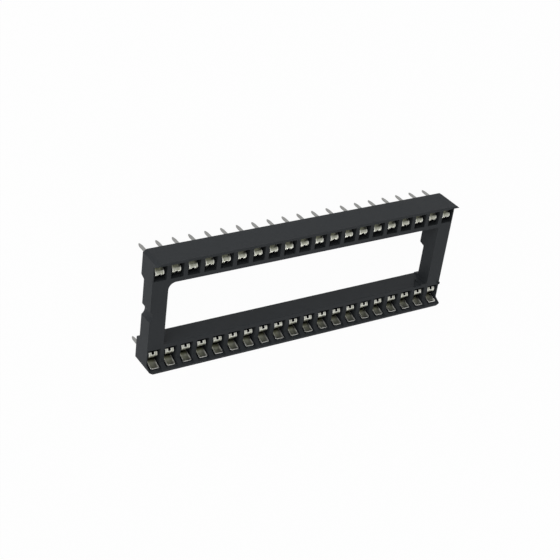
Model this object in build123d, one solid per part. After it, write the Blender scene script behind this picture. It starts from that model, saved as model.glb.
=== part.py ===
"""DIP IC socket: one black moulding that carries two rows of dual leaf contacts.

Millimetres. The origin is the centre of the pin grid on the board plane, +X runs along
the rows away from the polarity groove, +Y across them, +Z up from the board.
"""
import os

from build123d import *

os.makedirs("parts", exist_ok=True)

# Pin grid
WAYS = 20  # contacts in one row
PITCH = 2.54  # contact to contact along a row
ROW_SPACING = 15.24  # row plane to row plane

# Contact: one stamped strip, folded to a lyre when seen along the row
STRIP = 0.18  # thickness
STRIP_WIDTH = 1.30
SEAT_HALF = 0.36  # half the flat that stands on the pocket's floor
BOW_HALF = 0.48  # how far each leaf bows out below the throat
BOW_HEIGHT = 0.72
THROAT_GAP = 0.15  # between the leaves where they wipe a leg
THROAT_HEIGHT = 1.26
SHOULDER_HALF = 0.43  # inner leaf, where it turns from the throat to the arch
SHOULDER_HEIGHT = 1.62
CROWN_HALF = 0.95  # inner leaf, middle of the arch
CROWN_HEIGHT = 2.12
ARCH_FLATS = 5  # the arch is pressed as a run of short flats
PRONG_REACH = 1.50  # inner leaf's two tips, which droop towards the window
PRONG_HEIGHT = 1.90
KNEE_HALF = 0.25  # outer tongue, where it starts to lean out
KNEE_HEIGHT = 1.68
TONGUE_REACH = 0.80  # outermost corner of the tongue
TONGUE_HEIGHT = 2.97
TONGUE_CORNER = 0.20  # slanted corners of its tip
FORK_GAP = 0.40  # between the two prongs
FORK_DEPTH = 0.38

# Tail: a plate that hangs from the seat, through the floor and the board
TAIL_THICKNESS = 0.22
SHANK_WIDTH = 0.90  # inside the moulding
TAIL_WIDTH = 0.48  # below it
TAIL_LENGTH = 3.35  # below the board plane
TAIL_TAPER = 0.85
TAIL_TIP = 0.14

# Clearances between contact and moulding
SIDE_CLEARANCE = 0.28  # each side of the strip
PRONG_CLEARANCE = 0.50  # from the prongs to the pocket's inner wall
TONGUE_CLEARANCE = 0.08  # from the tongue to the pocket's outer wall
SLOT_CLEARANCE = 0.03  # all round the shank

# Moulding
FLOOR = 1.00  # floor of the pockets
POCKET_DEPTH = 2.40  # from the deck to that floor
INNER_WALL = 0.67  # pocket to the rail's face in the window
OUTER_WALL = 0.35  # pocket to the rail's outer face
END_WALL = 0.18  # last pocket to the end face
END_BAR = 2.48
WINDOW_RADIUS = 1.10  # its one rounded corner, beside the near bar
RIM_RISE = 1.08  # rim above the deck
RIM_WIDTH = 0.35  # its flat top
RIM_SLOPE = 0.60  # width of its sloped inner side
CORNER_LENGTH = 0.55  # chamfers of the upright corners, along the rails
CORNER_WIDTH = 0.35  # and across them

# Undersides of the end bars: each relief flares towards the board
NEAR_RELIEF_HEIGHT = 0.85
NEAR_RELIEF_FLARE = 0.35
NEAR_SHOULDER = 0.25  # from the rail's inner face to the top of the relief
FAR_RELIEF_HEIGHT = 0.96
FAR_RELIEF_FLARE = 0.26
FAR_SHOULDER = 0.38  # on the side with no foot
FOOT_EDGE = 0.45  # where the foot below the far bar begins, from the centre line

# Polarity groove and the small marks of the moulding
GROOVE_RADIUS = 1.05
GROOVE_DEPTH = 0.45
NUB_LENGTH = 0.28
NUB_WIDTH = 0.40
NUB_RISE = 0.24
NUB_EDGE = 0.15  # from the rail's inner face
NICK_GAP = 1.00  # from the far bar
NICK_LENGTH = 1.48
NICK_HEIGHT = 1.67
NICK_DEPTH = 0.22

# Worked out from the sizes above
ROW = ROW_SPACING / 2
DECK = FLOOR + POCKET_DEPTH
RIM_TOP = DECK + RIM_RISE
POCKET_WIDTH = STRIP_WIDTH + 2 * SIDE_CLEARANCE
POCKET_INNER = ROW - PRONG_REACH - PRONG_CLEARANCE
POCKET_OUTER = ROW + TONGUE_REACH + TONGUE_CLEARANCE
RAIL_INNER = POCKET_INNER - INNER_WALL
RAIL_OUTER = POCKET_OUTER + OUTER_WALL
HALF_LENGTH = (WAYS - 1) * PITCH / 2 + POCKET_WIDTH / 2 + END_WALL
HALF_WINDOW = HALF_LENGTH - END_BAR
PAST = 0.5  # how far a cut runs past the face that it opens


def upright(outline, low, high):
    """A solid of the given plan outline, between two heights."""
    return extrude(Pos(0, 0, low) * make_face(outline), high - low)


def along_rows(outline, start, end):
    """A solid of the given (across, up) section, between two places along the rows."""
    return extrude(Plane.YZ.offset(start) * make_face(outline), end - start)


def pair_across(solid):
    """The solid for the +Y row, and its like turned round for the -Y row."""
    return [solid, Rot(0, 0, 180) * solid]


def places_along_row():
    return [(number - (WAYS - 1) / 2) * PITCH for number in range(WAYS)]


def folded_strip(middle, thickness):
    """Outline of a strip of even thickness, folded at the given points of its middle line."""
    points = [Vector(*point) for point in middle]
    normals = [(b - a).normalized().rotate(Axis.Z, 90) for a, b in zip(points, points[1:])]
    before = normals[:1] + normals
    after = normals + normals[-1:]
    mitres = [(a + b) / (1 + a.dot(b)) * thickness / 2 for a, b in zip(before, after)]
    one_side = [point + mitre for point, mitre in zip(points, mitres)]
    other_side = [point - mitre for point, mitre in zip(points, mitres)]
    return Polyline(*one_side, *reversed(other_side), close=True)


def contact_at_origin():
    """The contact of the +Y row, with the row's plane at Y = 0."""
    throat = (THROAT_GAP + STRIP) / 2
    seat = FLOOR + STRIP / 2
    prong = (STRIP / 2 - PRONG_REACH, FLOOR + PRONG_HEIGHT)
    crown = (-CROWN_HALF, FLOOR + CROWN_HEIGHT - STRIP / 2)
    shoulder = (-SHOULDER_HALF, FLOOR + SHOULDER_HEIGHT)
    arch = ThreePointArc(prong, crown, shoulder)
    middle = [
        *[arch @ (step / ARCH_FLATS) for step in range(ARCH_FLATS + 1)],
        (-throat, FLOOR + THROAT_HEIGHT),
        (-BOW_HALF, FLOOR + BOW_HEIGHT),
        (-SEAT_HALF, seat),
        (SEAT_HALF, seat),
        (BOW_HALF, FLOOR + BOW_HEIGHT),
        (throat, FLOOR + THROAT_HEIGHT),
        (KNEE_HALF, FLOOR + KNEE_HEIGHT),
        (TONGUE_REACH - STRIP / 2, FLOOR + TONGUE_HEIGHT),
    ]
    section = Plane.YZ * make_face(folded_strip([tuple(point)[:2] for point in middle], STRIP))
    strip = extrude(section, STRIP_WIDTH / 2, both=True)
    return strip - fork() - tongue_corners() + tail()


def fork():
    """The gap between the two prongs of the inner leaf."""
    length = FORK_DEPTH + PAST
    middle = FORK_DEPTH - PRONG_REACH - length / 2
    return Pos(0, middle, FLOOR + THROAT_HEIGHT) * Box(
        FORK_GAP, length, CROWN_HEIGHT, align=(Align.CENTER, Align.CENTER, Align.MIN)
    )


def tongue_corners():
    """What the two slanted corners take off the outer tongue."""
    side = STRIP_WIDTH / 2
    top = FLOOR + TONGUE_HEIGHT + STRIP / 2
    corner = Polyline(
        (side - TONGUE_CORNER, top),
        (side, top - TONGUE_CORNER),
        (side + PAST, top - TONGUE_CORNER),
        (side + PAST, top + PAST),
        (side - TONGUE_CORNER, top + PAST),
        close=True,
    )
    waste = extrude(Plane.XZ * make_face(corner), -TONGUE_REACH - PAST)
    return waste + mirror(waste, Plane.YZ)


def tail():
    """Shank, tail and tapered tip, in the row's plane."""
    shank = SHANK_WIDTH / 2
    blade = TAIL_WIDTH / 2
    tip = TAIL_TIP / 2
    half = [
        (shank, FLOOR + STRIP / 2),
        (shank, 0),
        (blade, 0),
        (blade, TAIL_TAPER - TAIL_LENGTH),
        (tip, -TAIL_LENGTH),
    ]
    other_half = [(-across, up) for across, up in reversed(half)]
    outline = Polyline(*half, *other_half, close=True)
    return extrude(Plane.XZ * make_face(outline), TAIL_THICKNESS / 2, both=True)


def rails():
    """Both rails with their rims: one section that runs the whole length."""
    section = Polyline(
        (RAIL_INNER, 0),
        (RAIL_OUTER, 0),
        (RAIL_OUTER, RIM_TOP),
        (RAIL_OUTER - RIM_WIDTH, RIM_TOP),
        (RAIL_OUTER - RIM_WIDTH - RIM_SLOPE, DECK),
        (RAIL_INNER, DECK),
        close=True,
    )
    return pair_across(along_rows(section, -HALF_LENGTH, HALF_LENGTH))


def window_outline():
    """Plan of the window: three sharp corners, and a round one at the -X, +Y corner."""
    window = Rectangle(2 * HALF_WINDOW, 2 * RAIL_INNER)
    round_corner = window.vertices().group_by(Axis.X)[0].sort_by(Axis.Y)[-1]
    return fillet(round_corner, WINDOW_RADIUS)


def end_bars():
    """The two bars that close the window: a plate less the window."""
    plate = Box(
        2 * HALF_LENGTH,
        2 * RAIL_INNER + INNER_WALL,
        DECK,
        align=(Align.CENTER, Align.CENTER, Align.MIN),
    )
    return plate - extrude(Pos(0, 0, -PAST) * window_outline(), DECK + 2 * PAST)


def relief_section(low, high, height, flare):
    """Section of the space below an end bar: its roof runs across from low to high."""
    spread = flare * (1 + PAST / height)
    return Polyline(
        (low, height),
        (high, height),
        (high + spread, -PAST),
        (low - spread, -PAST),
        close=True,
    )


def reliefs():
    near_roof = RAIL_INNER - NEAR_SHOULDER
    near = relief_section(-near_roof, near_roof, NEAR_RELIEF_HEIGHT, NEAR_RELIEF_FLARE)
    far_roof = RAIL_INNER - FAR_SHOULDER
    far = relief_section(-far_roof, FOOT_EDGE, FAR_RELIEF_HEIGHT, FAR_RELIEF_FLARE)
    return [
        along_rows(near, -HALF_LENGTH - PAST, -HALF_WINDOW),
        along_rows(far, HALF_WINDOW, HALF_LENGTH + PAST),
    ]


def pockets():
    """A pocket with a slot through its floor for each contact."""
    depth = POCKET_OUTER - POCKET_INNER
    height = RIM_TOP - FLOOR
    upward = (Align.CENTER, Align.MIN, Align.MIN)
    pocket = Pos(0, POCKET_INNER, FLOOR) * Box(POCKET_WIDTH, depth, height, align=upward)
    slot = Pos(0, ROW, -PAST) * Box(
        SHANK_WIDTH + 2 * SLOT_CLEARANCE,
        TAIL_THICKNESS + 2 * SLOT_CLEARANCE,
        FLOOR + 2 * PAST,
        align=(Align.CENTER, Align.CENTER, Align.MIN),
    )
    return [Pos(x, 0, 0) * cut for x in places_along_row() for cut in pair_across(pocket + slot)]


def corner_outline():
    """Plan of the moulding: a rectangle with its four corners cut off."""
    x, y = HALF_LENGTH, RAIL_OUTER
    quarter = [(x, y - CORNER_WIDTH), (x - CORNER_LENGTH, y)]
    upper = quarter + [(-across, up) for across, up in reversed(quarter)]
    lower = [(-across, -up) for across, up in upper]
    return Polyline(*upper, *lower, close=True)


def polarity_groove():
    """The round groove in the outer face of the near bar."""
    centre = -HALF_LENGTH + GROOVE_DEPTH - GROOVE_RADIUS
    return Pos(centre, 0, -PAST) * Cylinder(
        GROOVE_RADIUS, DECK + 2 * PAST, align=(Align.CENTER, Align.CENTER, Align.MIN)
    )


def nub():
    """The low bump on the deck at the far end of the -Y rail."""
    return Pos(HALF_LENGTH, -RAIL_INNER - NUB_EDGE, DECK - PAST) * Box(
        NUB_LENGTH, NUB_WIDTH, NUB_RISE + PAST, align=(Align.MAX, Align.MAX, Align.MIN)
    )


def nick():
    """The three-cornered nick in the -Y rail's inner face, near the far bar."""
    end = HALF_WINDOW - NICK_GAP
    triangle = Polyline((end - NICK_LENGTH, DECK), (end, DECK), (end, DECK - NICK_HEIGHT), close=True)
    return extrude(Plane.XZ.offset(RAIL_INNER) * make_face(triangle), NICK_DEPTH)


def body():
    moulding = end_bars() + rails()
    moulding = moulding - reliefs() - pockets()
    moulding = moulding & upright(corner_outline(), 0, RIM_TOP)
    return moulding - polarity_groove() - nick() + nub()


def contacts():
    """Node names and solids, numbered as a chip's legs: along -Y from the groove, back along +Y."""
    plus_row, minus_row = pair_across(Pos(0, ROW, 0) * contact_at_origin())
    xs = places_along_row()
    seats = [(x, minus_row) for x in xs] + [(x, plus_row) for x in reversed(xs)]
    return {
        f"contact_{number:02d}": Pos(x, 0, 0) * solid
        for number, (x, solid) in enumerate(seats, start=1)
    }


nodes = {"body": body(), **contacts()}
for name, solid in nodes.items():
    export_step(solid, f"parts/{name}.step")
print(len(nodes), "nodes,", round(2 * HALF_LENGTH, 2), "by", round(2 * RAIL_OUTER, 2), "mm")
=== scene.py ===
# %% [markdown]
# # Dressing a chip socket
# The solids of this socket are packed already: one black moulded frame and forty folded
# spring contacts. They fix every place and size. This lesson keeps them as they are and
# adds what they can't show, which is soft moulded edges, the rounded and dished metal of
# the springs, and finishes for plastic and tin.

import math

import bmesh
import bpy
from mathutils import Matrix, Vector
from mathutils.geometry import intersect_point_line


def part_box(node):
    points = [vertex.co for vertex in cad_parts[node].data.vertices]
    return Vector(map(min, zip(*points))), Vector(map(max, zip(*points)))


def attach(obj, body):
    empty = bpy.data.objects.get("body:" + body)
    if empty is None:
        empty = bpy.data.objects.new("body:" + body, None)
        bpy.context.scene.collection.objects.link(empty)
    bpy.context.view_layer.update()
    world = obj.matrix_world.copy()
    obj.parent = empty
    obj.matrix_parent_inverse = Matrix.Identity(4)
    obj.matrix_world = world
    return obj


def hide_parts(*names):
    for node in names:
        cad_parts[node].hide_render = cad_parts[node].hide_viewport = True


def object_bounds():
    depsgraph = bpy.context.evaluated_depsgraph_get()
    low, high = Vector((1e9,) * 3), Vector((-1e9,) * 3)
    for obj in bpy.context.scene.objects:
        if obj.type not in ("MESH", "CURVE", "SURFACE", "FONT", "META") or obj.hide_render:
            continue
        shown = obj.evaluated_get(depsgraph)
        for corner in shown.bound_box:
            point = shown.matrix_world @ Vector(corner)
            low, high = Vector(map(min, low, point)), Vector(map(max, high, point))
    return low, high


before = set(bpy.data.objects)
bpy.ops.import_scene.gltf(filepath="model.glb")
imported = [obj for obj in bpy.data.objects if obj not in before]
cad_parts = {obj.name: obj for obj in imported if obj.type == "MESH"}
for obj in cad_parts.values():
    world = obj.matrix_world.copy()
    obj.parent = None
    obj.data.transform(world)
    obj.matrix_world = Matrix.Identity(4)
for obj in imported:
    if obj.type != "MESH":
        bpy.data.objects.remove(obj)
solid_bounds = [[float(value) for value in corner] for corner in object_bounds()]
print("solids reach from", solid_bounds[0], "to", solid_bounds[1])

# %% [markdown]
# ## Sizes
# A millimetre is a handy unit for a part this small, so each size is written in
# millimetres and multiplied once. Values in capitals are given, and a few of them
# repeat a size of the imported part that no box shows. The others come from the boxes
# of the imported nodes: the middle of a contact's box gives its column, and the gap between
# two columns is the pitch.

# %% Sizes and places
MM = 0.001
contact_names = sorted(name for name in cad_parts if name.startswith("contact_"))


def column_of(name):
    """How far along the row a contact stands, rounded to a thousandth of a millimetre."""
    low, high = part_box(name)
    return round((low[0] + high[0]) / 2, 6)


columns = sorted({column_of(name) for name in contact_names})
pitch = columns[1] - columns[0]
row_plane = 3 * pitch  # the rows of a wide chip stand six pitches apart
contact_low, contact_high = [Vector(corner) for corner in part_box(contact_names[-1])]
strip_width = contact_high.x - contact_low.x
print(f"{len(columns)} columns, {pitch / MM:.2f} mm apart, rows at {row_plane / MM:.2f} mm")

# %% [markdown]
# ## Trees of nodes as plain Python
# A finish, the world and a layout of parts are all small trees of nodes. Written link by
# link, a tree hides the sum that it stands for. So one class wraps a node's output and
# lets Python's own operators add the Math nodes.


# %% A wrapped output
class Signal:
    """One output of a node. Sums of signals and numbers add Math nodes."""

    def __init__(self, graph, socket):
        self.graph = graph
        self.socket = socket

    def maths(self, operation, first, second):
        return self.graph.node("ShaderNodeMath", {"operation": operation}, {0: first, 1: second})

    def __add__(self, other):
        return self.maths("ADD", self, other)

    def __radd__(self, other):
        return self.maths("ADD", other, self)

    def __sub__(self, other):
        return self.maths("SUBTRACT", self, other)

    def __rsub__(self, other):
        return self.maths("SUBTRACT", other, self)

    def __mul__(self, other):
        return self.maths("MULTIPLY", self, other)

    def __rmul__(self, other):
        return self.maths("MULTIPLY", other, self)


print("a signal adds one Math node for each plus, minus and times")

# %% [markdown]
# Every other kind of node comes from one method. It takes the node's kind, its settings,
# and a number or a signal for each of its inputs, and hands back one output, ready for
# the next sum.


# %% A tree in the making
class Graph:
    """A tree of nodes in the making, for a material, the world or a modifier."""

    def __init__(self, tree):
        self.tree = tree
        self.tree.nodes.clear()

    def node(self, kind, settings, values, output=0):
        """Adds a node: its settings first, then what each of its inputs gets."""
        node = self.tree.nodes.new(kind)
        for name, setting in settings.items():
            setattr(node, name, setting)
        for name, value in values.items():
            self.plug(node.inputs[name], value)
        return Signal(self, node.outputs[output]) if len(node.outputs) else None

    def plug(self, slot, value):
        """Gives an input a signal, a plain value, or a list of signals that it joins."""
        if isinstance(value, Signal):
            self.tree.links.new(value.socket, slot)
        elif isinstance(value, list):
            for signal in value:
                self.plug(slot, signal)
        else:
            slot.default_value = value

    def ray(self, kind):
        """Is 1 for rays of light of one kind, and 0 for all others."""
        return self.node("ShaderNodeLightPath", {}, {}, kind)


print("a graph makes its nodes with one method")

# %% [markdown]
# A finish is such a tree inside a material. Its patterns are noise, which fills space by
# itself, so no piece has to be unwrapped for it. The noise reads Object coordinates, which
# are metres on the part itself, so a pattern neither slides nor turns. One method gathers
# what the Principled shader needs and closes the tree.


# %% A finish
class Finish(Graph):
    """A material in the making, with its Principled shader's sockets set by name."""

    def __init__(self, name):
        self.material = bpy.data.materials.new(name)
        self.material.use_nodes = True
        super().__init__(self.material.node_tree)
        self.place = self.node("ShaderNodeTexCoord", {}, {}, "Object")

    def noise(self, grain, detail=2.0, where=None):
        """Cloudy noise whose lumps are about `grain` metres across."""
        values = {"Vector": where or self.place, "Scale": 1 / grain, "Detail": detail}
        return self.node("ShaderNodeTexNoise", {}, values)

    def rise(self, value, start, end):
        """Climbs from 0 to 1 while a value goes from start to end, up or down."""
        values = {"Value": value, "From Min": start, "From Max": end}
        return self.node("ShaderNodeMapRange", {}, values)

    def blend(self, factor, first, second):
        """A colour between two colours, which are inputs 6 and 7 of the Mix node."""
        values = {0: factor, 6: first, 7: second}
        return self.node("ShaderNodeMix", {"data_type": "RGBA"}, values, 2)

    def bump(self, height, depth, strength):
        values = {"Height": height, "Distance": depth, "Strength": strength}
        return self.node("ShaderNodeBump", {}, values)

    def shade(self, **sockets):
        """Sets the Principled shader and joins it to the output."""
        values = {name.replace("_", " "): value for name, value in sockets.items()}
        shader = self.node("ShaderNodeBsdfPrincipled", {}, values)
        self.node("ShaderNodeOutputMaterial", {}, {"Surface": shader})
        return self.material


print("a finish has noise, rise, blend, bump and shade")

# %% [markdown]
# ## Black moulded plastic
# The frame is glass-filled nylon, almost black with a touch of blue, and its skin has a
# very fine grain from the tool. Real moulded black is never one value: it clouds gently
# where the melt flowed, and glass fibre near the skin makes faint pale specks. Noise of
# four sizes gives the broad cloud, the marks of the flow, the grain and the specks.

# %% Black plastic
NYLON_DARK = (0.0180, 0.0202, 0.0224, 1)
NYLON_PALE = (0.0310, 0.0348, 0.0386, 1)
FIBRE = (0.080, 0.088, 0.094, 1)
GRAIN_DEPTH = 0.012 * MM


def black_nylon():
    finish = Finish("black nylon")
    cloud = finish.noise(4.0 * MM, detail=3.0)
    flow = finish.noise(0.9 * MM, detail=4.0)
    grain = finish.noise(0.05 * MM)
    specks = finish.rise(finish.noise(0.11 * MM), 0.66, 0.74)
    plain = finish.blend(0.6 * cloud + 0.4 * flow, NYLON_DARK, NYLON_PALE)
    return finish.shade(
        Base_Color=finish.blend(0.18 * specks, plain, FIBRE),
        Roughness=0.44 + 0.14 * cloud + 0.06 * grain,
        Specular_IOR_Level=0.105,
        Normal=finish.bump(grain + 0.5 * flow, GRAIN_DEPTH, 0.35),
    )


nylon = black_nylon()
print(nylon.name, "has", len(nylon.node_tree.nodes), "nodes")

# %% [markdown]
# ## Dull tin
# The springs are phosphor bronze under a thin tin plate that has gone dull and grey.
# Rolling leaves faint lines that run along the strip, so their noise is fine across the
# strip and drawn out along it. The plate is cloudy on the broad faces and plain grey on
# the tails. Deep in the pocket its colour is darkened and turned brownish, which is painted
# shade. Along the sheared edges, most of all on the tongues, which stand out, the colour is
# lightened almost to white, which is a painted highlight where the edges catch the light.
# The strip's mesh carries a value named burnish that says how much painted highlight
# each point gets.

# %% Tin plate
ROLLED_DARK = (0.26, 0.265, 0.22, 1)
ROLLED_PALE = (0.34, 0.345, 0.30, 1)
CLOUDED = (0.17, 0.175, 0.12, 1)
PAINTED_DEEP_SHADE = (0.10, 0.10, 0.06, 1)
TAIL_GREY = (0.34, 0.34, 0.34, 1)
# painted highlight: a near-white colour put on the edges where they would catch the light
PAINTED_EDGE_HIGHLIGHT = (0.92, 0.92, 0.87, 1)
DEEP_SHADE_FROM = 3.00 * MM  # heights above the board between which the painted shade deepens
DEEP_SHADE_TO = 2.30 * MM
GREY_FROM = 1.0 * MM  # and those between which it turns to the grey of the tails
GREY_TO = 0.2 * MM
LINE_STRETCH = 0.06
LINE_DEPTH = 0.004 * MM


def dull_tin():
    finish = Finish("dull tin")
    stretch = {"Vector": finish.place, "Scale": (1.0, LINE_STRETCH, LINE_STRETCH)}
    along = finish.node("ShaderNodeMapping", {}, stretch)
    lines = finish.noise(0.04 * MM, where=along)
    patches = finish.rise(finish.noise(0.45 * MM, detail=3.0), 0.40, 0.66)
    burnish = finish.node("ShaderNodeAttribute", {"attribute_name": "burnish"}, {}, "Fac")
    height = finish.node("ShaderNodeSeparateXYZ", {}, {"Vector": finish.place}, "Z")
    face = finish.blend(lines, ROLLED_DARK, ROLLED_PALE)
    face = finish.blend(0.6 * patches, face, CLOUDED)
    # painted shade: the colour goes darker and brownish deep in the pocket, where shade falls
    face = finish.blend(0.8 * finish.rise(height, DEEP_SHADE_FROM, DEEP_SHADE_TO), face, PAINTED_DEEP_SHADE)
    face = finish.blend(0.8 * finish.rise(height, GREY_FROM, GREY_TO), face, TAIL_GREY)
    return finish.shade(
        # painted highlight along the sheared edges, strongest on the tongues
        Base_Color=finish.blend(burnish, face, PAINTED_EDGE_HIGHLIGHT),
        Metallic=1.0,
        Roughness=0.24 + 0.10 * lines + 0.12 * patches,
        Normal=finish.bump(lines, LINE_DEPTH, 0.30),
    )


tin = dull_tin()
print(tin.name, "has", len(tin.node_tree.nodes), "nodes")

# %% [markdown]
# ## The moulded frame
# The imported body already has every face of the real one. What a mould adds is a small
# radius on each edge, because steel can't be cut to a perfect corner. A copy of the body
# is welded, its flat areas are freed of needless edges, and a Bevel modifier rounds what
# is left. That is simpler and truer than modelling the frame a second time.
#
# A flat face with a hole in it can't be one polygon, so the copy is first cut through the
# middle of every pocket, both ways, and the cuts are marked as seams, which the cleaning
# then leaves alone. Last, points that only split a straight edge in two are taken out,
# because a bevel would trip over them.

# %% A clean copy of the frame
WELD_REACH = 0.001 * MM
CUT_REACH = 0.0001 * MM
STRAIGHT_WITHIN = 0.0005 * MM
FLAT_WITHIN = math.radians(0.5)


def cut_through_pockets(shape):
    """Cuts the mesh at each column and each row, and marks the cuts as seams."""
    planes = [((column, 0, 0), (1, 0, 0)) for column in columns]
    planes += [((0, across, 0), (0, 1, 0)) for across in (-row_plane, 0, row_plane)]
    for place, direction in planes:
        every_part = list(shape.verts) + list(shape.edges) + list(shape.faces)
        cut = bmesh.ops.bisect_plane(
            shape, geom=every_part, plane_co=place, plane_no=direction, dist=CUT_REACH
        )
        for item in cut["geom_cut"]:
            if isinstance(item, bmesh.types.BMEdge):
                item.seam = True


def off_line(vert):
    """How far a point stands from the line between its two neighbours."""
    start, end = [edge.other_vert(vert).co for edge in vert.link_edges]
    nearest, _ = intersect_point_line(vert.co, start, end)
    return (vert.co - nearest).length


def points_on_lines(shape):
    """The points that only split a straight edge in two."""
    pairs = [vert for vert in shape.verts if len(vert.link_edges) == 2]
    return [vert for vert in pairs if off_line(vert) < STRAIGHT_WITHIN]


def mesh_of(shape, name):
    """Writes a bmesh to a new mesh and lets the bmesh go."""
    mesh = bpy.data.meshes.new(name)
    shape.to_mesh(mesh)
    shape.free()
    return mesh


def welded_copy(node, name):
    """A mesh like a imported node's, with its loose triangles joined to clean flat faces."""
    shape = bmesh.new()
    shape.from_mesh(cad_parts[node].data)
    bmesh.ops.remove_doubles(shape, verts=shape.verts, dist=WELD_REACH)
    cut_through_pockets(shape)
    bmesh.ops.dissolve_limit(
        shape,
        angle_limit=FLAT_WITHIN,
        verts=shape.verts,
        edges=shape.edges,
        delimit={"SEAM"},
    )
    bmesh.ops.dissolve_verts(shape, verts=points_on_lines(shape))
    return mesh_of(shape, name)


frame_mesh = welded_copy("body", "moulding")
print("clean copy of the frame:", len(frame_mesh.polygons), "faces")

# %% [markdown]
# Two segments are enough for a radius this small. A clamped Bevel gives every edge the
# width that the shortest one allows, so the frame's isn't clamped: its small marks would
# otherwise thin the radius everywhere.

# %% Frame with softened edges
MOULD_RADIUS = 0.05 * MM
MOULD_ANGLE = math.radians(25)


def as_object(mesh, name):
    piece = bpy.data.objects.new(name, mesh)
    bpy.context.collection.objects.link(piece)
    return piece


def round_edges(piece, width, sharper_than, clamped):
    """Adds a Bevel modifier for the edges that turn by more than an angle."""
    bevel = piece.modifiers.new("rounded edges", "BEVEL")
    bevel.width = width
    bevel.segments = 2
    bevel.limit_method = "ANGLE"
    bevel.angle_limit = sharper_than
    bevel.use_clamp_overlap = clamped
    bevel.harden_normals = True


moulding = as_object(frame_mesh, "moulding")
moulding.data.materials.append(nylon)
round_edges(moulding, MOULD_RADIUS, MOULD_ANGLE, clamped=False)
print("moulding: edges rounded to", round(MOULD_RADIUS / MM, 3), "mm")

# %% [markdown]
# ## One spring contact
# A contact is a single stamped strip, folded so that seen along the row it looks like a
# lyre. Its middle line is a handful of bend points. Cutting the corners of that line
# again and again, a quarter from each side, turns it into the smooth bend of real metal.
#
# A curve with a flat profile could draw a plain strip, but this one has a fork between
# its two prongs and a shallow dish pressed into its outer tongue. So the strip is a grid
# of points that follows the line, where both are easy to make, and a Solidify modifier
# gives it thickness.
#
# The bend points run from the prongs over the arch, down into the pocket, round the seat
# and up again to the tongue's tip. Each is a place across the row and a height above the
# pocket's floor, in millimetres.

# %% Middle line of the strip
STRIP_THICKNESS = 0.18 * MM
FLOOR_HEIGHT = 1.00 * MM  # the pocket's floor, above the board
BENDS = [
    (-1.435, 1.88),
    (-1.16, 2.02),
    (-0.90, 2.06),
    (-0.66, 1.92),
    (-0.42, 1.58),
    (-0.16, 1.28),
    (-0.17, 1.10),
    (-0.50, 0.72),
    (-0.40, 0.09),
    (0.40, 0.09),
    (0.50, 0.72),
    (0.17, 1.10),
    (0.16, 1.36),
    (0.25, 1.66),
    (0.47, 2.27),
    (0.705, 2.98),
]
SMOOTHING_ROUNDS = 3


def smooth_line(points, rounds):
    """Cuts each corner a quarter of the way along both its sides, several times over."""
    for _ in range(rounds):
        cut = [points[0]]
        for start, end in zip(points, points[1:]):
            cut += [start.lerp(end, 0.25), start.lerp(end, 0.75)]
        points = cut + [points[-1]]
    return points


def lengths_along(points):
    """Distance from the line's start to each of its points."""
    lengths = [0.0]
    for start, end in zip(points, points[1:]):
        lengths.append(lengths[-1] + (end - start).length)
    return lengths


bends = [Vector((0, across * MM, FLOOR_HEIGHT + up * MM)) for across, up in BENDS]
middle_line = smooth_line(bends, SMOOTHING_ROUNDS)
line_length = lengths_along(middle_line)[-1]
print(f"strip is {line_length / MM:.2f} mm long before folding")

# %% [markdown]
# The strip is cut into rows of points, and forty copies of it add up, so the rows are
# close only where they earn it: on the arch, which is seen best, and at the tongue's
# rounded tip. Deep in the pocket and along the straight tongue they lie further apart.

# %% Rows along the strip
ARCH_LENGTH, ARCH_ROWS = 1.65 * MM, 18
SUNK_LENGTH, SUNK_ROWS = 3.45 * MM, 23
TIP_LENGTH, TIP_ROWS = 0.25 * MM, 5
STRAIGHT_ROWS = 11


def spread_rows():
    """Distance of each row from the prongs' ends."""
    straight_length = line_length - ARCH_LENGTH - SUNK_LENGTH - TIP_LENGTH
    stretches = [
        (ARCH_LENGTH, ARCH_ROWS),
        (SUNK_LENGTH, SUNK_ROWS),
        (straight_length, STRAIGHT_ROWS),
        (TIP_LENGTH, TIP_ROWS),
    ]
    places = [0.0]
    for length, rows in stretches:
        start = places[-1]
        places += [start + length * (row + 1) / rows for row in range(rows)]
    return places


def points_at(points, places):
    """The points of a line that lie at the given distances from its start."""
    lengths = lengths_along(points)
    result = []
    span = 0
    for place in places:
        while span < len(points) - 2 and lengths[span + 1] < place:
            span += 1
        share = (place - lengths[span]) / (lengths[span + 1] - lengths[span])
        result.append(points[span].lerp(points[span + 1], share))
    return result


row_places = spread_rows()
row_points = points_at(middle_line, row_places)
print(len(row_points), "rows along the strip")

# %% [markdown]
# Across the strip the points of a row crowd at the edges of the fork, so that the fork's
# sides are straight. Near the tongue's tip the rows narrow along a quarter circle, which
# rounds its corners. Small functions say how wide and how hollow the strip is at any place,
# and how much painted highlight its edges get. The dish and the painted highlight fade
# out with the same soft step.

# %% Width, dish and painted edge highlight
FORK_GAP = 0.40 * MM
FORK_DEPTH = 0.38 * MM
TIP_ROUND = 0.20 * MM
DISH_DEPTH = 0.05 * MM
DISH_LENGTH = 1.30 * MM
DISH_RIM = 0.08 * MM  # flat metal left between the dish and the tip
DISH_RIM_FADE = 0.16 * MM
DISH_SIDE = 0.90  # the dish ends at this share of the half width
DISH_SIDE_FADE = 0.22
TONGUE_LENGTH = 2.20 * MM
TONGUE_FADE = 0.5 * MM  # dish and painted edge highlight both come up over this length
HIGHLIGHT_REACH = 0.22 * MM
HIGHLIGHT_BELOW = 0.55  # how much painted highlight edges get that don't belong to the tongue
BESIDE_FORK = 0.12
half_width = strip_width / 2
fork_edge = FORK_GAP / 2 / half_width

# A row's points lie at these shares of the half width, on both sides of the middle.
half_across = [fork_edge, fork_edge + BESIDE_FORK, 0.58, 0.72, 0.86, 1.0]
across_strip = [-share for share in reversed(half_across)] + [0.0] + half_across


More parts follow.
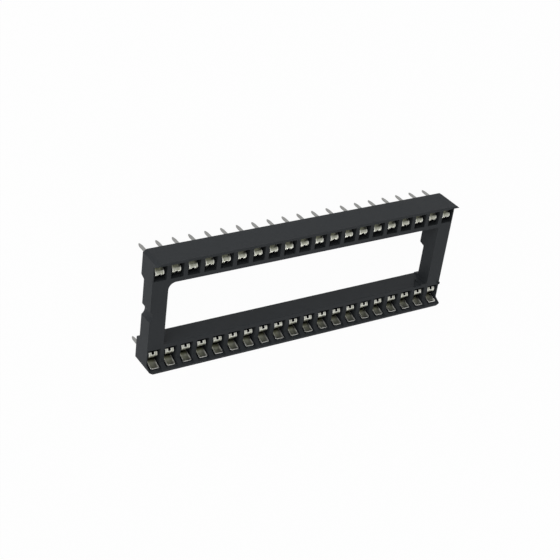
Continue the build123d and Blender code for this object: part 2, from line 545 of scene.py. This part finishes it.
def ease(value):
    """Runs from 0 to 1 with no sudden start or stop."""
    value = min(max(value, 0.0), 1.0)
    return value * value * (3 - 2 * value)


def half_width_at(to_tip):
    """Half the strip's width, at a distance from the tongue's tip."""
    past_start = max(TIP_ROUND - to_tip, 0.0)
    inset = TIP_ROUND - math.sqrt(max(TIP_ROUND**2 - past_start**2, 0.0))
    return half_width - inset


def hollow_at(share, to_tip):
    """How deep the dish is, at a share of the half width and a distance from the tip."""
    along = ease((DISH_LENGTH - to_tip) / TONGUE_FADE) * ease((to_tip - DISH_RIM) / DISH_RIM_FADE)
    return DISH_DEPTH * along * ease((DISH_SIDE - abs(share)) / DISH_SIDE_FADE)


def edge_highlight_at(share, from_prongs, to_tip):
    """How much painted highlight the strip gets: 1 at an edge of the tongue, and 0 a short way
    in.
    """
    from_side = (1 - abs(share)) * half_width
    from_prong_end = from_prongs + HIGHLIGHT_REACH / 2  # the prongs' ends get less painted highlight
    insets = [from_side, from_prong_end, to_tip]
    if from_prongs < FORK_DEPTH:
        insets.append((abs(share) - fork_edge) * half_width)
    on_tongue = ease((TONGUE_LENGTH - to_tip) / TONGUE_FADE)
    most = HIGHLIGHT_BELOW + (1 - HIGHLIGHT_BELOW) * on_tongue
    return most * ease(1 - min(insets) / HIGHLIGHT_REACH)


print(f"each row has {len(across_strip)} points, and the fork is {FORK_GAP / MM:.2f} mm wide")

# %% [markdown]
# The grid has one row of points for each place along the line. A dish sinks the points
# against the strip's own outward direction, which turns with the line. Faces join each
# row to the next, except between the prongs.


# %% The folded strip
def strip_rows(shape):
    """Makes the rows of points, with their painted edge highlight."""
    burnish = shape.verts.layers.float.new("burnish")
    rows = []
    for index, (point, from_prongs) in enumerate(zip(row_points, row_places)):
        before = row_points[max(index - 1, 0)]
        after = row_points[min(index + 1, len(row_points) - 1)]
        run = (after - before).normalized()
        outward = Vector((0, -run.z, run.y))
        to_tip = line_length - from_prongs
        width = half_width_at(to_tip)
        row = []
        for share in across_strip:
            sunk = outward * hollow_at(share, to_tip)
            vert = shape.verts.new(point + Vector((share * width, 0, 0)) - sunk)
            vert[burnish] = edge_highlight_at(share, from_prongs, to_tip)
            row.append(vert)
        rows.append(row)
    return rows


def strip_faces(shape, rows):
    """Joins each row to the next, and leaves the gap between the prongs open."""
    middle = len(across_strip) // 2
    for row, next_row, next_place in zip(rows, rows[1:], row_places[1:]):
        for column in range(len(across_strip) - 1):
            if next_place <= FORK_DEPTH and column in (middle - 1, middle):
                continue
            corners = (row[column], row[column + 1], next_row[column + 1], next_row[column])
            shape.faces.new(corners)


def strip_mesh():
    shape = bmesh.new()
    strip_faces(shape, strip_rows(shape))
    loose = [vert for vert in shape.verts if not vert.link_faces]
    bmesh.ops.delete(shape, geom=loose, context="VERTS")
    bmesh.ops.recalc_face_normals(shape, faces=shape.faces)
    return mesh_of(shape, "folded strip")


strip_sheet = strip_mesh()
print("folded strip:", len(strip_sheet.polygons), "faces in its middle sheet")

# %% [markdown]
# The tail is a flat plate that hangs from the seat. It is a plain outline given a
# thickness: a wide shank through the floor, a short shoulder, and a blade. The blade's
# end narrows along a curve, because the stamping tool leaves it rounded.

# %% Outline of the tail
TAIL_THICKNESS = 0.22 * MM
SHANK_HALF = 0.45 * MM
SHOULDER = 0.06 * MM
BLADE_HALF = 0.24 * MM
TIP_HALF = 0.07 * MM
TAPER = 0.85 * MM
TAPER_FULLNESS = 0.8  # under 1, the taper keeps its width longer than a cosine does
TAPER_STEPS = 9
tail_end = contact_low.z


def tail_outline():
    """Corner points of one side of the tail, from the seat down to the tip."""
    side = [
        (SHANK_HALF, FLOOR_HEIGHT + STRIP_THICKNESS / 2),
        (SHANK_HALF, SHOULDER),
        (BLADE_HALF, 0.0),
    ]
    for step in range(TAPER_STEPS):
        turn = step / (TAPER_STEPS - 1)
        fullness = math.cos(turn * math.pi / 2) ** TAPER_FULLNESS
        across = TIP_HALF + (BLADE_HALF - TIP_HALF) * fullness
        side.append((across, tail_end + TAPER * (1 - turn)))
    return side


def tail_mesh():
    side = tail_outline()
    outline = side + [(-across, up) for across, up in reversed(side)]
    shape = bmesh.new()
    front = [shape.verts.new((across, TAIL_THICKNESS / 2, up)) for across, up in outline]
    shape.faces.new(front)
    grown = bmesh.ops.extrude_face_region(shape, geom=list(shape.faces))
    moved = [item for item in grown["geom"] if isinstance(item, bmesh.types.BMVert)]
    bmesh.ops.translate(shape, verts=moved, vec=(0, -TAIL_THICKNESS, 0))
    bmesh.ops.recalc_face_normals(shape, faces=shape.faces)
    return mesh_of(shape, "tail")


tail_plate = tail_mesh()
print("tail:", len(tail_plate.polygons), "faces")

# %% [markdown]
# Both meshes become solid metal with rounded edges through modifiers: Solidify gives the
# sheet its thickness on both sides of the middle line, and Bevel breaks the sheared
# edges. Reading the evaluated object back turns the result into one plain mesh.

# %% One finished contact
STRIP_EDGE = 0.065 * MM
TAIL_EDGE = 0.03 * MM
SHEARED_ANGLE = math.radians(50)


def made_plain(piece):
    """A new mesh that holds what the piece's modifiers make of it."""
    bpy.context.view_layer.update()
    state = bpy.context.evaluated_depsgraph_get()
    evaluated = piece.evaluated_get(state)
    return bpy.data.meshes.new_from_object(
        evaluated, preserve_all_data_layers=True, depsgraph=state
    )


def with_sheared_edges(piece, width):
    """Swaps a piece for a plain tinned one with its sheared edges rounded."""
    for face in piece.data.polygons:
        face.use_smooth = True
    round_edges(piece, width, SHEARED_ANGLE, clamped=True)
    mesh = made_plain(piece)
    mesh.materials.append(tin)
    name = piece.name
    bpy.data.objects.remove(piece)
    return as_object(mesh, name)


def metal_strip():
    strip = as_object(strip_sheet, "strip")
    thickness = strip.modifiers.new("thickness", "SOLIDIFY")
    thickness.thickness = STRIP_THICKNESS
    thickness.offset = 0.0
    return with_sheared_edges(strip, STRIP_EDGE)


strip_piece = metal_strip()
tail_piece = with_sheared_edges(as_object(tail_plate, "tail"), TAIL_EDGE)
print("one contact:", len(strip_piece.data.polygons) + len(tail_piece.data.polygons), "faces")

# %% [markdown]
# ## Forty contacts from one
# The rows repeat one contact, which is what Geometry Nodes are for. A Mesh Line gives a
# point for each column, and Instance on Points puts the contact there. The second row is
# made the same way and turned half a turn about the middle of the socket. A little seeded
# scatter turns each contact by less than a degree about its upright axis, because each
# sits a little loose in its pocket.

# %% A tree with named inputs
LAYOUT_INPUTS = {
    "Strip": "NodeSocketObject",
    "Tail": "NodeSocketObject",
    "Columns": "NodeSocketInt",
    "Pitch": "NodeSocketFloat",
    "Row plane": "NodeSocketFloat",
    "Largest turn": "NodeSocketFloat",
    "Seed": "NodeSocketInt",
    "Metal": "NodeSocketMaterial",
}


def empty_layout():
    tree = bpy.data.node_groups.new("contact rows", "GeometryNodeTree")
    for name, kind in LAYOUT_INPUTS.items():
        tree.interface.new_socket(name, in_out="INPUT", socket_type=kind)
    tree.interface.new_socket("Geometry", in_out="OUTPUT", socket_type="NodeSocketGeometry")
    return tree


layout = Graph(empty_layout())
print("layout tree has", len(LAYOUT_INPUTS), "inputs")

# %% [markdown]
# The tree is built in the order in which it works: points, one contact, two scattered
# rows, and then the close. Realize Instances turns the copies into real geometry, which
# is all that an export can read.


# %% A tree of nodes that lays out both rows
def given(name):
    """One of the layout's own inputs."""
    return layout.node("NodeGroupInput", {}, {}, name)


def column_points():
    """A point for each column, centred along the row."""
    reach = (given("Columns") - 1.0) * given("Pitch")
    start = {"X": reach * -0.5, "Y": given("Row plane")}
    values = {
        "Count": given("Columns"),
        "Start Location": layout.node("ShaderNodeCombineXYZ", {}, start),
        "Offset": layout.node("ShaderNodeCombineXYZ", {}, {"X": given("Pitch")}),
    }
    return layout.node("GeometryNodeMeshLine", {"mode": "OFFSET"}, values)


def one_contact():
    parts = [
        layout.node("GeometryNodeObjectInfo", {}, {"Object": given(name)}, "Geometry")
        for name in ("Strip", "Tail")
    ]
    return layout.node("GeometryNodeJoinGeometry", {}, {0: parts})


def scattered_row(points, contact, draw):
    """A contact at each point, turned a little. Every draw scatters them anew."""
    spread = {2: given("Largest turn") * -1.0, 3: given("Largest turn")}
    spread["Seed"] = given("Seed") + draw
    angle = layout.node("FunctionNodeRandomValue", {"data_type": "FLOAT"}, spread, 1)
    turn = layout.node("ShaderNodeCombineXYZ", {}, {"Z": angle})
    values = {"Points": points, "Instance": contact, "Rotation": turn}
    return layout.node("GeometryNodeInstanceOnPoints", {}, values)


def lay_out_rows():
    points = column_points()
    contact = one_contact()
    row = scattered_row(points, contact, 0.0)
    other_row = scattered_row(points, contact, 1.0)
    half_turn = {"Geometry": other_row, "Rotation": (0.0, 0.0, math.pi)}
    opposite = layout.node("GeometryNodeTransform", {}, half_turn)
    both = layout.node("GeometryNodeJoinGeometry", {}, {0: [row, opposite]})
    real = layout.node("GeometryNodeRealizeInstances", {}, {"Geometry": both})
    plating = {"Geometry": real, "Material": given("Metal")}
    plated = layout.node("GeometryNodeSetMaterial", {}, plating)
    layout.node("NodeGroupOutput", {}, {"Geometry": plated})


lay_out_rows()
print("layout tree:", len(layout.tree.nodes), "nodes")

# %% [markdown]
# A modifier's inputs are set by each socket's identifier, before its object is first
# evaluated. Once the rows are laid out, the result is read back as one plain mesh that
# all forty packed contacts hand over to.

# %% Both rows of contacts
LARGEST_TURN = math.radians(0.9)
SEED = 7


def set_inputs(modifier, values):
    for item in modifier.node_group.interface.items_tree:
        if item.in_out == "INPUT":
            modifier[item.identifier] = values[item.name]


def contact_rows():
    carrier = as_object(bpy.data.meshes.new("rows carrier"), "rows_carrier")
    modifier = carrier.modifiers.new("rows", "NODES")
    modifier.node_group = layout.tree
    sizes = {
        "Strip": strip_piece,
        "Tail": tail_piece,
        "Columns": len(columns),
        "Pitch": pitch,
        "Row plane": row_plane,
        "Largest turn": LARGEST_TURN,
        "Seed": SEED,
        "Metal": tin,
    }
    set_inputs(modifier, sizes)
    rows = as_object(made_plain(carrier), "contact_rows")
    bpy.data.objects.remove(carrier)
    return rows


contacts = contact_rows()
for model in (strip_piece, tail_piece):
    bpy.data.objects.remove(model)
print("contact rows:", len(contacts.data.polygons), "faces")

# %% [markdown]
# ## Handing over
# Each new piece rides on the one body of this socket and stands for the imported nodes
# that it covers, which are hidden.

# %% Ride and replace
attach(moulding, "root")
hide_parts("body")

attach(contacts, "root")
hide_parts(*contact_names)
print("pieces handed over:", moulding.name, contacts.name)

# %% [markdown]
# ## Table and world
# A product shot on white needs a white table that still takes a soft shadow. The table's
# shader is part glow, part plain paint: the glow holds it near white, and the paint takes
# the shadow. Only the camera's rays, and those that shiny or clear surfaces send on, see
# the glow, so it shows in the metal without flooding the socket with light. The world
# works alike: white where it is seen or mirrored, and dimmer as a lamp.

# %% Table and world
TABLE_HALF = 0.6
WHITE = (1, 1, 1, 1)
PAPER_DARK = (0.86, 0.86, 0.86, 1)
PAPER_PALE = (0.90, 0.90, 0.90, 1)
SEEN_GLOW = 0.97
MIRRORED_GLOW = 0.90
WORLD_LEVEL = 0.37


def white_table():
    finish = Finish("white table")
    paper = finish.noise(3.0 * MM, detail=3.0)
    colour = finish.blend(0.2 * paper, PAPER_DARK, PAPER_PALE)
    paint = finish.node("ShaderNodeBsdfDiffuse", {}, {"Color": colour})
    glow = finish.node("ShaderNodeEmission", {}, {"Color": WHITE, "Strength": 1.0})
    seen = finish.ray("Is Camera Ray") + finish.ray("Is Transmission Ray")
    share = SEEN_GLOW * seen + MIRRORED_GLOW * finish.ray("Is Glossy Ray")
    surface = finish.node("ShaderNodeMixShader", {}, {0: share, 1: paint, 2: glow})
    finish.node("ShaderNodeOutputMaterial", {}, {"Surface": surface})
    return finish.material


def flat_table():
    """A square table right under the tips of the tails."""
    mesh = bpy.data.meshes.new("table")
    half = TABLE_HALF
    corners = [(-half, -half), (half, -half), (half, half), (-half, half)]
    height = solid_bounds[0][2]
    mesh.from_pydata([(x, y, height) for x, y in corners], [], [(0, 1, 2, 3)])
    mesh.materials.append(white_table())
    return as_object(mesh, "table")


def pale_world():
    world = bpy.data.worlds.new("studio")
    world.use_nodes = True
    graph = Graph(world.node_tree)
    seen = graph.ray("Is Camera Ray") + graph.ray("Is Transmission Ray")
    shown = seen + graph.ray("Is Glossy Ray")
    level = WORLD_LEVEL + (1 - WORLD_LEVEL) * shown
    sky = graph.node("ShaderNodeBackground", {}, {"Color": WHITE, "Strength": level})
    graph.node("ShaderNodeOutputWorld", {}, {"Surface": sky})
    return world


table = flat_table()
bpy.context.scene.world = pale_world()
print("table at", round(solid_bounds[0][2] / MM, 2), "mm")

# %% [markdown]
# ## Lamps
# Five square lamps stand round the socket. The key lamp is low, off the corner that the
# camera looks down on, so it lights the outer faces more than the deck, and a weaker one
# on the left helps it along the end bar. A wide one in front, high up, opens the deck.
# Two stand on the far side: the low one lights the faces that look away from the key, and
# the high one puts a glint on the bent metal.
#
# A lamp or a camera is aimed with one small function, which builds the turn from the line
# of sight and from the direction that should point up.

# %% Lamps
LAMP_UP = Vector((0, 0.1, 1))  # leans a little, so that it is never the line of sight


def aimed(place, target, up):
    """A world matrix at a place that looks at a target."""
    back = (place - target).normalized()
    right = up.cross(back).normalized()
    turn = Matrix((right, back.cross(right), back)).transposed()
    return Matrix.Translation(place) @ turn.to_4x4()


def lamp(name, direction, distance, size, power):
    """A lamp that faces the socket's middle, with sizes in metres and power in watts."""
    light = bpy.data.lights.new(name, "AREA")
    light.shape = "SQUARE"
    light.size = size
    light.energy = power
    piece = bpy.data.objects.new(name, light)
    place = Vector(direction).normalized() * distance
    piece.matrix_world = aimed(place, Vector((0, 0, 0)), LAMP_UP)
    bpy.context.collection.objects.link(piece)


lamp("key", (-0.65, 0.72, 0.28), distance=0.36, size=0.24, power=0.64)
lamp("left", (-0.95, 0.15, 0.06), distance=0.40, size=0.20, power=0.25)
lamp("front", (-0.40, 0.45, 0.80), distance=0.40, size=0.30, power=0.18)
lamp("low", (0.50, -0.80, 0.30), distance=0.30, size=0.10, power=0.16)
lamp("glint", (0.52, -0.30, 0.80), distance=0.30, size=0.12, power=0.045)
print(len(bpy.data.lights), "lamps")

# %% [markdown]
# ## Camera
# A longish lens, some twenty centimetres away, keeps the two rows nearly parallel. The
# camera looks down on one corner of the socket. Its up direction leans towards the board,
# so the nearer row runs along the top of the view, with its tails pointing up.

# %% Camera
camera_place = Vector((-96.1, 96.8, 132.4)) * MM
camera_target = Vector((-2.45, -0.88, 0)) * MM
camera_up = Vector((0.183, 0.849, -0.496))

camera = bpy.data.cameras.new("camera")
camera.lens = 83.7
camera.sensor_width = 36
camera.clip_start = 0.01
viewpoint = bpy.data.objects.new("camera", camera)
viewpoint.matrix_world = aimed(camera_place, camera_target, camera_up)
bpy.context.collection.objects.link(viewpoint)
bpy.context.scene.camera = viewpoint
bpy.context.scene.view_settings.view_transform = "Standard"
print("camera", round(camera_place.length / MM), "mm from the middle of the socket")
